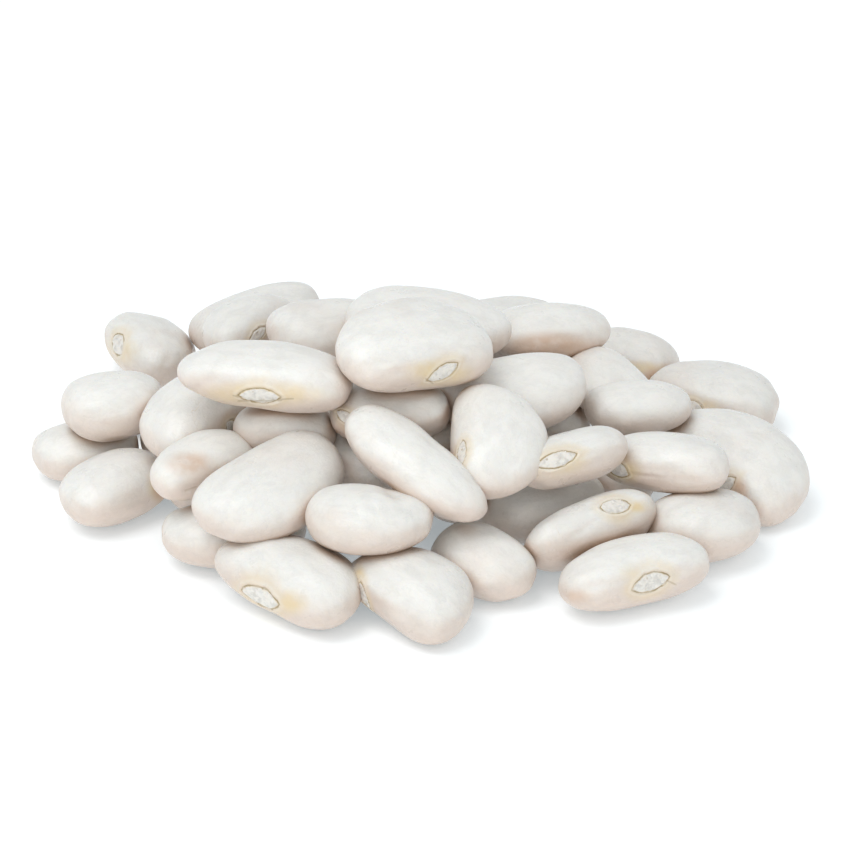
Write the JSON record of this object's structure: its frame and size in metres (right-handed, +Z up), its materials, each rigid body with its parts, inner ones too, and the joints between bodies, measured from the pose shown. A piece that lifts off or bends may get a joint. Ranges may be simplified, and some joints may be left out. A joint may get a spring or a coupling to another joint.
{
  "type": "heap of dried white beans",
  "caption": "Loose heap of large dried white beans as it lies on a flat surface, kidney-shaped and cream-white, uneven in size.",
  "frame": {"origin": "on the table, under the middle of the box round the heap", "axes": "+Z up from the table, +X along the heap's longest side, -Y towards the side seen in the reference picture"},
  "size_m": [0.12, 0.1072, 0.0349],
  "materials": {
    "bean_skin": "satin"
  },
  "bodies": {
    "root": {"bean_heap": "bean_skin"}
  },
  "joints": []
}
